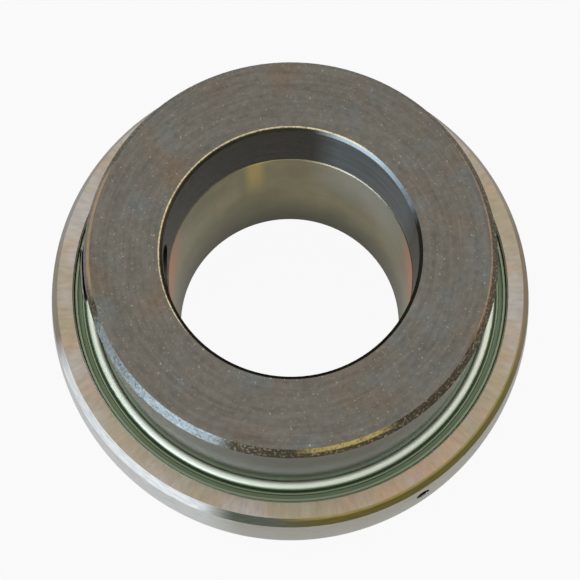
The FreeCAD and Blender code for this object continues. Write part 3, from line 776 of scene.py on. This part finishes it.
@dataclass(frozen=True)
class ZincPlatedSheet:
    """Pressed sheet of the seals, zinc plated and passivated.

    Attributes:
        middle: Height of the balls' plane, in millimetres.
        crest: Top of the bead over that plane, in millimetres.
        bead: Radius of the bead's middle, in millimetres.
        bead_radius: Radius of the bead's section, in millimetres.
        name: The material's name.
        zinc: The plating's bright colour, on the bead's crest as a painted highlight.
        green: The passivation's green in patches, and on the bead's flanks as painted shade.
        flat: The flat rings beside the bead.
        groove: The dark of the valley and the deep corners, part dirt and part painted shade.
        line: The painted highlight on the rib and the rim.
        roughness: Roughness of the plating.
        valley_depth: How far the valley's sheet lies under the bead's top, in millimetres.
    """

    middle: float
    crest: float
    bead: float
    bead_radius: float
    name: str = "zinc plated sheet"
    zinc: str = "#E9F3E4"
    green: str = "#9AB696"
    flat: str = "#8E9C84"
    groove: str = "#35452F"
    line: str = "#93A084"
    roughness: float = 0.55
    valley_depth: float = 1.5

    def make(self) -> bpy.types.Material:
        """Make the material.

        Returns:
            The material.
        """
        # Passivated zinc is bright with a green cast. The bead's crest gets a painted highlight,
        # its flanks painted shade, the valley painted shade and dirt, and the rib and the rim a
        # painted highlight
        coat = Coat(self.name)
        add, place = coat.add, coat.place
        radius = place["Radius"]
        # The marks are about 0.3 mm apart, coarser than pressing leaves, or they wouldn't show
        circling = {"Across": radius, "Along": 3.3, "Round": 3.0, "Seed": 1.0}
        rolled = add(GROUP, {"node_tree": tool_marks()}, circling)
        stain = {"Extent": (7.0, 7.0, 7.0), "Seed": 2.0, "Low": 0.4, "High": 0.7}
        stained = add(GROUP, {"node_tree": spots()}, stain)
        over = add(MATH, {"operation": "SUBTRACT"}, {0: place["Height"], 1: self.middle})
        over = add(MATH, {"operation": "ABSOLUTE"}, {0: over})
        low, high = self.bead - self.bead_radius, self.bead + self.bead_radius
        # The rib and the rim rise from the valley's sheet
        valley = self.crest - self.valley_depth
        on = coat.table(
            GROUP,
            {"node_tree": soft_band()},
            ("Value", "Low", "High", "Fade"),
            bead=(radius, low, high, 0.05),
            crest=(over, self.crest - 0.3, self.crest + 1, 0.5),
            valley=(over, 0.0, valley + 0.04, 0.04),
            corner=(radius, high - 0.1, high + 0.16, 0.1),
            ribs=(over, valley + 0.1, valley + 0.8, 0.03),
        )
        beyond = add(MATH, {"operation": "GREATER_THAN"}, {0: radius, 1: high + 0.1})
        # Painted highlights on the crest, rib and rim; painted shade on the flanks and valley
        colour = coat.layers(
            self.flat,
            (coat.where(stained, 0.4), self.green),
            (on["bead"], self.green),
            (coat.where(on["bead"], on["crest"]), self.zinc),
            (coat.where(on["valley"], 0.45), self.groove),
            (coat.where(on["corner"], on["valley"]), self.groove),
            (coat.where(on["ribs"], beyond), self.line),
        )
        roughness = coat.sway(self.roughness, (rolled, 0.1))
        return coat.finish(colour, roughness, rolled, 0.003, coat.sway(1.0, (rolled, 0.18)))


@dataclass(frozen=True)
class PlainSteel:
    """Steel that was pressed, headed or lapped, with fine marks all over.

    Attributes:
        name: The material's name.
        steel: Its colour.
        shade: The colour of its darker patches.
        grit: Size of its marks in millimetres.
        depth: Depth of its marks in millimetres.
        roughness: Its roughness.
    """

    name: str
    steel: str
    shade: str
    grit: float
    depth: float
    roughness: float

    def make(self) -> bpy.types.Material:
        """Make the material.

        Returns:
            The material.
        """
        # Bare steel that never meets the air stays bright, with a faint grain of its making
        coat = Coat(self.name)
        patch = {"Extent": (4.0, 4.0, 4.0), "Seed": 1.0, "High": 0.7}
        patches = coat.add(GROUP, {"node_tree": spots()}, patch, "Mask")
        fine = {"Extent": (self.grit,) * 3, "Seed": 2.0, "Detail": 4.0}
        grain = coat.add(GROUP, {"node_tree": spots()}, fine, "Noise")
        colour = coat.layers(self.steel, (patches, self.shade))
        return coat.finish(colour, coat.sway(self.roughness, (grain, 0.12)), grain, self.depth)


@dataclass(frozen=True)
class NitrileRubber:
    """Moulded nitrile rubber of the seals' lips.

    Attributes:
        name: The material's name.
        rubber: Its colour.
        bloom: The paler bloom on it.
        roughness: Its roughness.
    """

    name: str = "nitrile rubber"
    rubber: str = "#1E1E1D"
    bloom: str = "#33322F"
    roughness: float = 0.62

    def make(self) -> bpy.types.Material:
        """Make the material.

        Returns:
            The material.
        """
        # Carbon black makes it a matt near-black, greyer where wax has bloomed out of it
        coat = Coat(self.name, 0.0)
        patch = {"Extent": (3.0, 3.0, 3.0), "Seed": 1.0, "Low": 0.4, "High": 0.7}
        bloom = coat.add(GROUP, {"node_tree": spots()}, patch, "Mask")
        fine = {"Extent": (0.2, 0.2, 0.2), "Seed": 2.0}
        grain = coat.add(GROUP, {"node_tree": spots()}, fine, "Noise")
        colour = coat.layers(self.rubber, (bloom, self.bloom))
        return coat.finish(colour, coat.sway(self.roughness, (grain, 0.13)), grain, 0.01)


def dress(material: bpy.types.Material, *nodes: str) -> None:
    """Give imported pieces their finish.

    Args:
        material: The finish.
        nodes: The names of the pieces.
    """
    for name in nodes:
        slots = frame["nodes"][name].data.materials
        slots.clear()
        slots.append(material)
        log.info("%s: %s", name, material.name)


def ball_plane() -> float:
    """Return the height of the balls' plane, in millimetres."""
    low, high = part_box("ball_1")
    return (low.z + high.z) / 2 / MM


class Side(Enum):
    """A face of the bearing: the locking collar's side, or the far side."""

    FRONT = "front"
    REAR = "rear"


@dataclass
class Rings:
    """The outer and the inner ring.

    Attributes:
        corner_width: Chamfer of the outer ring across its face, in millimetres.
        corner_height: The same chamfer along the axis.
    """

    corner_width: float = 1.0
    corner_height: float = 1.8

    def build(self) -> None:
        """Dress both rings."""
        middle = ball_plane()
        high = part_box("outer_ring")[1] / MM
        corner = high.z - middle - self.corner_height
        brow = math.sqrt(high.x**2 - corner**2) - self.corner_width
        dress(GroundChromeSteel(middle, high.x, brow).make(), "outer_ring")
        dress(HonedChromeSteel(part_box("inner_ring")[1].z / MM).make(), "inner_ring")


@dataclass
class BallSet:
    """The balls with their riveted cage.

    Attributes:
        count: How many balls there are.
    """

    count: int = 9

    def build(self) -> None:
        """Dress the balls, the two cage halves and the rivets."""
        ball = PlainSteel("lapped ball steel", "#C9C9CC", "#BDBDC2", 0.3, 0.0005, 0.12)
        cage = PlainSteel("pressed cage steel", "#9B9A97", "#86847F", 0.25, 0.004, 0.38)
        rivet = PlainSteel("headed rivet steel", "#A39F99", "#8F8A82", 0.2, 0.004, 0.32)
        dress(ball.make(), *(f"ball_{i + 1}" for i in range(self.count)))
        dress(cage.make(), "cage_front", "cage_rear")
        dress(rivet.make(), "cage_rivets")


@dataclass
class Seals:
    """The seal on each face: an inner shield, the rubber and the outer shield.

    Attributes:
        bead_inset: Bead's middle from the shield's outside, in millimetres.
        bead_radius: Radius of the bead's section, in millimetres.
    """

    bead_inset: float = 2.35
    bead_radius: float = 0.7

    def build(self) -> None:
        """Dress the six pieces."""
        middle = ball_plane()
        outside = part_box("front_seal_outer_shield")[1]
        bead = outside.x / MM - self.bead_inset
        zinc = ZincPlatedSheet(middle, outside.z / MM - middle, bead, self.bead_radius).make()
        plain = PlainSteel("plain sheet steel", "#8E8D8A", "#7C7A75", 0.3, 0.003, 0.36).make()
        rubber = NitrileRubber().make()
        for side in Side:
            dress(zinc, f"{side.value}_seal_outer_shield")
            dress(plain, f"{side.value}_seal_inner_shield")
            dress(rubber, f"{side.value}_seal_lip")


@dataclass
class LockingCollar:
    """The eccentric locking collar."""

    def build(self) -> None:
        """Dress the collar."""
        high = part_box("locking_collar")[1]
        mounts = {mount["name"]: mount for mount in frame["record"]["mounts"]}
        bore = mounts["collar_bore"]["dims"]["r_mm"]
        finish = BlackOxideSteel(high.x / MM, bore, high.z / MM)
        dress(finish.make(), "locking_collar")


@dataclass
class SetScrew:
    """The collar's set screw, with its thread, hexagon socket and cup point.

    Attributes:
        diameter: Nominal diameter, M8.
        pitch: Pitch of the thread.
        crest_flat: Flat on the thread's crest, as a share of the pitch.
        root_flat: Flat at the thread's root, as a share of the pitch.
        thread_depth: Depth of the thread, as a share of the pitch.
        end_chamfer: Chamfer at the outer end.
        cup: Diameter of the cup's rim.
        cup_depth: Depth of the cup.
        socket: Hexagon across its flats.
        socket_depth: Depth of the hexagon.
        drill_angle: Point angle at the bottom of the socket.
        corners: Points round the screw, a multiple of 6.
        rings_per_pitch: Rings of points along one pitch.
    """

    diameter: float = 8.0
    pitch: float = 1.25
    crest_flat: float = 0.125
    root_flat: float = 0.166
    thread_depth: float = 0.613
    end_chamfer: float = 0.3
    cup: float = 5.0
    cup_depth: float = 1.4
    socket: float = 4.0
    socket_depth: float = 4.0
    drill_angle: float = 118.0
    corners: int = 72
    rings_per_pitch: int = 14

    def build(self) -> None:
        """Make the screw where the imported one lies, and let it stand for that one."""
        node = frame["nodes"]["set_screw"]
        joint = next(j for j in frame["joints"] if j["name"] == "screw_travel")
        axis = Vector(joint["axis"]).normalized()
        reach = [v.co.dot(axis) for v in node.data.vertices]
        low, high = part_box("set_screw")
        tip, end = min(reach) / MM, max(reach) / MM
        finish = BlackOxideScrewSteel(tuple(axis), end).make()
        screw = self.cut_thread(self.make_blank(end - tip), end - tip, finish)
        along = Matrix((axis.cross(Vector((0, 0, 1))), Vector((0, 0, 1)), axis)).transposed()
        foot = axis * tip * MM + Vector((0, 0, (low.z + high.z) / 2))
        screw.data.transform(Matrix.Translation(foot) @ along.to_4x4())
        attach(screw, "screw")
        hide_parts("set_screw")
        log.info("%s: %d faces", screw.name, len(screw.data.polygons))

    def loop(self, mesh: bmesh.types.BMesh, height: float, radius: float | None = None) -> list:
        """Add a ring of points round the screw.

        Args:
            mesh: The mesh that gets them.
            height: Where they lie along the screw, in millimetres.
            radius: Their distance from its axis. Without one they follow the hexagon's flats.

        Returns:
            The points.
        """
        points = []
        for i in range(self.corners):
            angle = 2 * math.pi * i / self.corners
            off_flat = (angle + math.pi / 6) % (math.pi / 3) - math.pi / 6
            out = radius or self.socket / 2 / math.cos(off_flat)
            place = Vector((out * math.cos(angle), out * math.sin(angle), height))
            points.append(mesh.verts.new(place * MM))
        return points

    def make_blank(self, length: float) -> bpy.types.Object:
        """Turn the screw's blank along +Z, from its cup at 0 to its socket at the far end.

        Args:
            length: The screw from end to end.

        Returns:
            The blank, a closed mesh.
        """
        mesh = bmesh.new()
        radius = self.diameter / 2
        drill = self.socket / 2 / math.tan(math.radians(self.drill_angle / 2))
        count = round(length / self.pitch * self.rings_per_pitch)
        loops = [self.loop(mesh, 0.0, self.cup / 2)]
        loops += [self.loop(mesh, length * i / count, radius) for i in range(count + 1)]
        loops.append(self.loop(mesh, length, radius - self.end_chamfer))
        loops += [self.loop(mesh, length), self.loop(mesh, length - self.socket_depth)]
        bottom = mesh.verts.new((0, 0, (length - self.socket_depth - drill) * MM))
        point = mesh.verts.new((0, 0, self.cup_depth * MM))
        for here, there in zip(loops, loops[1:]):
            for i in range(self.corners):
                following = (i + 1) % self.corners
                mesh.faces.new((here[i], here[following], there[following], there[i]))
        for i in range(self.corners):
            following = (i + 1) % self.corners
            mesh.faces.new((loops[-1][i], loops[-1][following], bottom))
            mesh.faces.new((loops[0][following], loops[0][i], point))
        bmesh.ops.recalc_face_normals(mesh, faces=mesh.faces)
        data = bpy.data.meshes.new("threaded_set_screw")
        mesh.to_mesh(data)
        mesh.free()
        blank = bpy.data.objects.new("threaded_set_screw", data)
        bpy.context.scene.collection.objects.link(blank)
        return blank

    def cut_thread(
        self, blank: bpy.types.Object, length: float, finish: bpy.types.Material
    ) -> bpy.types.Object:
        """Cut the thread into the blank's side.

        Args:
            blank: The screw before its thread.
            length: The screw from end to end.
            finish: The screw's material.

        Returns:
            The screw with its thread.
        """
        tree = thread_tree()
        modifier = blank.modifiers.new("thread", "NODES")
        modifier.node_group = tree
        sizes = {
            "Crest Radius": self.diameter / 2 * MM,
            "Pitch": self.pitch * MM,
            "Crest Flat": self.crest_flat,
            "Root Flat": self.root_flat,
            "Depth": self.thread_depth * self.pitch * MM,
            "Length": length * MM,
            "Tip Radius": self.cup / 2 * MM,
            "End Radius": (self.diameter / 2 - self.end_chamfer) * MM,
            "Material": finish,
        }
        for item in tree.interface.items_tree:
            if item.in_out == "INPUT" and item.name in sizes:
                modifier[item.identifier] = sizes[item.name]
        bpy.context.view_layer.update()
        ready = blank.evaluated_get(bpy.context.evaluated_depsgraph_get())
        data = bpy.data.meshes.new_from_object(ready)
        blank.modifiers.remove(modifier)
        blank.data = data
        return blank


def thread_tree() -> bpy.types.NodeTree:
    """Make the tree that cuts a metric thread into the side of a blank that lies along Z.

    Returns:
        The tree. Its inputs are the crest's radius, the pitch, the flats as shares of the
        pitch, the depth, the length, and the radius at which each end's cone starts.
    """
    tree = bpy.data.node_groups.new("cut thread", "GeometryNodeTree")
    tree.interface.new_socket("Geometry", in_out="INPUT", socket_type="NodeSocketGeometry")
    for label in (
        "Crest Radius", "Pitch", "Crest Flat", "Root Flat", "Depth", "Length", "Tip Radius",
        "End Radius",
    ):
        tree.interface.new_socket(label, in_out="INPUT", socket_type="NodeSocketFloat")
    tree.interface.new_socket("Material", in_out="INPUT", socket_type="NodeSocketMaterial")
    tree.interface.new_socket("Geometry", in_out="OUTPUT", socket_type="NodeSocketGeometry")
    add = partial(add_node, tree)
    given = add("NodeGroupInput", output=None)
    position = add("GeometryNodeInputPosition")
    part = add("ShaderNodeSeparateXYZ", None, {0: position}, None)
    height = part["Z"]
    across = add(VECTOR, {"operation": "MULTIPLY"}, {0: position, 1: (1, 1, 0)})
    radius = add(VECTOR, {"operation": "LENGTH"}, {0: across}, "Value")
    angle = add(MATH, {"operation": "ARCTAN2"}, {0: part["Y"], 1: part["X"]})
    turn = add(MATH, {"operation": "DIVIDE"}, {0: angle, 1: 2 * math.pi})
    climb = add(MATH, {"operation": "DIVIDE"}, {0: height, 1: given["Pitch"]})
    phase = add(MATH, {"operation": "SUBTRACT"}, {0: climb, 1: turn})
    phase = add(MATH, {"operation": "FRACT"}, {0: phase})
    # A crest's middle is at half a turn of the phase, and the root's at its ends
    off_crest = add(MATH, {"operation": "SUBTRACT"}, {0: phase, 1: 0.5})
    off_crest = add(MATH, {"operation": "ABSOLUTE"}, {0: off_crest})
    crest_end = add(MATH, {"operation": "DIVIDE"}, {0: given["Crest Flat"], 1: 2.0})
    root_half = add(MATH, {"operation": "DIVIDE"}, {0: given["Root Flat"], 1: 2.0})
    root_start = add(MATH, {"operation": "SUBTRACT"}, {0: 0.5, 1: root_half})
    flank = {"Value": off_crest, "From Min": crest_end, "From Max": root_start}
    groove = add(RANGE, None, flank)
    depth = add(MATH, {"operation": "MULTIPLY"}, {0: groove, 1: given["Depth"]})
    cut = add(MATH, {"operation": "SUBTRACT"}, {0: given["Crest Radius"], 1: depth})
    from_tip = add(MATH, {"operation": "ADD"}, {0: given["Tip Radius"], 1: height})
    left = add(MATH, {"operation": "SUBTRACT"}, {0: given["Length"], 1: height})
    from_end = add(MATH, {"operation": "ADD"}, {0: given["End Radius"], 1: left})
    for limit in (from_tip, from_end):
        cut = add(MATH, {"operation": "MINIMUM"}, {0: cut, 1: limit})
    share = add(MATH, {"operation": "DIVIDE"}, {0: cut, 1: radius})
    shares = add("ShaderNodeCombineXYZ", None, {"X": share, "Y": share, "Z": 1.0})
    moved = add(VECTOR, {"operation": "MULTIPLY"}, {0: position, 1: shares})
    nearly = add(MATH, {"operation": "MULTIPLY"}, {0: given["Crest Radius"], 1: 0.99})
    on_side = add(MATH, {"operation": "GREATER_THAN"}, {0: radius, 1: nearly})
    change = {"Geometry": given["Geometry"], "Selection": on_side, "Position": moved}
    shaped = add("GeometryNodeSetPosition", None, change)
    real = add("GeometryNodeRealizeInstances", None, {"Geometry": shaped})
    dressed = {"Geometry": real, "Material": given["Material"]}
    finish = add("GeometryNodeSetMaterial", None, dressed)
    add("NodeGroupOutput", None, {"Geometry": finish})
    return tree


@dataclass(frozen=True)
class Softbox:
    """A soft lamp that looks at the bearing.

    Attributes:
        name: The lamp's name.
        azimuth: Where it stands, in degrees.
        elevation: How high it stands, in degrees.
        distance: How far from the bearing, in metres.
        width: Its size across, in metres.
        height: Its size up, in metres.
        radiance: How bright its face is, where 1 is white.
        colour: Its colour.
    """

    name: str
    azimuth: float
    elevation: float
    distance: float
    width: float
    height: float
    radiance: float
    colour: str

    def hang(self, target: Vector) -> None:
        """Hang the lamp and turn it to a point.

        Args:
            target: The point that it looks at.
        """
        lamp = bpy.data.lights.new(self.name, "AREA")
        lamp.shape = "RECTANGLE"
        lamp.size = self.width
        lamp.size_y = self.height
        lamp.energy = self.radiance * math.pi * self.width * self.height
        lamp.color = linear_colour(self.colour)[:3]
        flat = math.cos(math.radians(self.elevation))
        away = Vector((
            flat * math.cos(math.radians(self.azimuth)),
            flat * math.sin(math.radians(self.azimuth)),
            math.sin(math.radians(self.elevation)),
        ))
        place = bpy.data.objects.new(self.name, lamp)
        place.location = target + away * self.distance
        place.rotation_euler = away.to_track_quat("Z", "Y").to_euler()
        bpy.context.scene.collection.objects.link(place)


@dataclass
class Studio:
    """The pale floor, the soft lamps and the camera.

    Attributes:
        picture: Width and height of the photograph in its own pixels.
        focal: Focal length in those pixels.
        optical_centre: Where the lens looks straight ahead, in those pixels.
        stand: The camera from the middle of the collar's face, in millimetres.
        tilt: The view's angle off the bearing's axis, in degrees.
        roll: Turn of the camera about its own view, in degrees.
        sensor: Width of the camera's sensor, in millimetres.
        white: Brightness of the background, where 1 is white.
        surround: Brightness of the room that lights the bearing.
        shadow: How much of the floor's own shading the camera sees.
        mirrored: How much of the white background the metal mirrors.
        floor_size: The floor's side, in metres.
        floor_gap: Room between the floor and the bearing, in millimetres.
        lit: Height that the lamps look at, in millimetres.
    """

    picture: tuple[int, int] = (580, 580)
    focal: float = 1500.0
    optical_centre: tuple[float, float] = (287.5, 288.1)
    stand: tuple[float, float, float] = (-0.42, -61.83, 194.71)
    tilt: float = 16.16
    roll: float = 0.39
    sensor: float = 36.0
    white: float = 0.962
    surround: float = 0.42
    shadow: float = 0.025
    mirrored: float = 0.3
    floor_size: float = 4.0
    floor_gap: float = 0.02
    lit: float = 20.0

    def place_camera(self) -> None:
        """Place the camera as the photograph's."""
        face = Vector((0.0, 0.0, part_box("locking_collar")[1].z))
        lens = bpy.data.cameras.new("view")
        lens.sensor_width = self.sensor
        lens.lens = self.focal / self.picture[0] * self.sensor
        lens.shift_x = (self.picture[0] / 2 - self.optical_centre[0]) / self.picture[0]
        lens.shift_y = (self.optical_centre[1] - self.picture[1] / 2) / self.picture[0]
        lens.clip_start = 0.01
        camera = bpy.data.objects.new("view", lens)
        turn = Matrix.Rotation(math.radians(self.tilt), 4, "X")
        roll = Matrix.Rotation(math.radians(self.roll), 4, "Z")
        camera.matrix_world = Matrix.Translation(face + Vector(self.stand) * MM) @ turn @ roll
        bpy.context.scene.collection.objects.link(camera)
        bpy.context.scene.camera = camera

    def white_share(self, add: Callable, seen_share: float) -> Any:
        """Say how much of the white background each kind of ray meets.

        Args:
            add: The function that adds nodes to the tree.
            seen_share: What the camera and rays through glass meet.

        Returns:
            The share, from 0 to 1.
        """
        path = add("ShaderNodeLightPath", output=None)
        either = {0: path["Is Camera Ray"], 1: path["Is Transmission Ray"]}
        seen = add(MATH, {"operation": "MAXIMUM"}, either)
        seen = add(MATH, {"operation": "MULTIPLY"}, {0: seen, 1: seen_share})
        gloss = {0: path["Is Glossy Ray"], 1: self.mirrored}
        mirrored = add(MATH, {"operation": "MULTIPLY"}, gloss)
        return add(MATH, {"operation": "MAXIMUM"}, {0: seen, 1: mirrored})

    def lay_floor(self) -> None:
        """Lay a pale floor that a camera sees as white, with the bearing's soft shadow."""
        mesh = bmesh.new()
        bmesh.ops.create_grid(mesh, x_segments=8, y_segments=8, size=self.floor_size / 2)
        bmesh.ops.translate(mesh, verts=mesh.verts, vec=(0, 0, -self.floor_gap * MM))
        data = bpy.data.meshes.new("floor")
        mesh.to_mesh(data)
        mesh.free()
        floor = bpy.data.objects.new("floor", data)
        bpy.context.scene.collection.objects.link(floor)
        material = bpy.data.materials.new("pale floor")
        material.use_nodes = True
        material.node_tree.nodes.clear()
        add = partial(add_node, material.node_tree)
        paint = add("ShaderNodeBsdfDiffuse", None, {"Color": "#E8E8E6", "Roughness": 0.5})
        shine = add("ShaderNodeEmission", None, {"Color": "#FFFFFF", "Strength": self.white})
        share = self.white_share(add, 1.0 - self.shadow)
        both = add("ShaderNodeMixShader", None, {0: share, 1: paint, 2: shine})
        add("ShaderNodeOutputMaterial", None, {"Surface": both})
        data.materials.append(material)

    def light(self) -> None:
        """Light the bearing with soft lamps and a dim, even surround."""
        world = bpy.data.worlds.new("surround")
        world.use_nodes = True
        bpy.context.scene.world = world
        world.node_tree.nodes.clear()
        add = partial(add_node, world.node_tree)
        ends = {
            "Value": self.white_share(add, 1.0), "To Min": self.surround, "To Max": self.white,
        }
        strength = add(RANGE, None, ends)
        back = add("ShaderNodeBackground", None, {"Color": "#FFFFFF", "Strength": strength})
        add("ShaderNodeOutputWorld", None, {"Surface": back})
        middle = Vector((0, 0, self.lit * MM))
        for lamp in (
            Softbox("overhead", 100.0, 74.0, 0.75, 0.9, 0.7, 1.0, "#FFFBF5"),
            Softbox("window", 228.0, 12.0, 0.6, 0.5, 0.42, 3.0, "#EAF3FF"),
            Softbox("warm side", 4.0, 12.0, 0.6, 0.3, 0.3, 1.5, "#FFE2C4"),
            Softbox("warm strip", 290.0, 8.0, 0.6, 0.1, 0.35, 1.6, "#FFEFC8"),
        ):
            lamp.hang(middle)


def main() -> None:
    """Dress the bearing piece by piece and set the studio round it."""
    logging.basicConfig(level=logging.INFO, format="%(name)s %(message)s")
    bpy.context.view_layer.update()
    studio = Studio()
    studio.place_camera()
    for group in (Rings(), BallSet(), Seals(), LockingCollar(), SetScrew()):
        group.build()
        log.info("%s built", type(group).__name__)
    studio.lay_floor()
    studio.light()
    bpy.context.scene.view_settings.view_transform = "Standard"


if __name__ == "__main__":
    main()
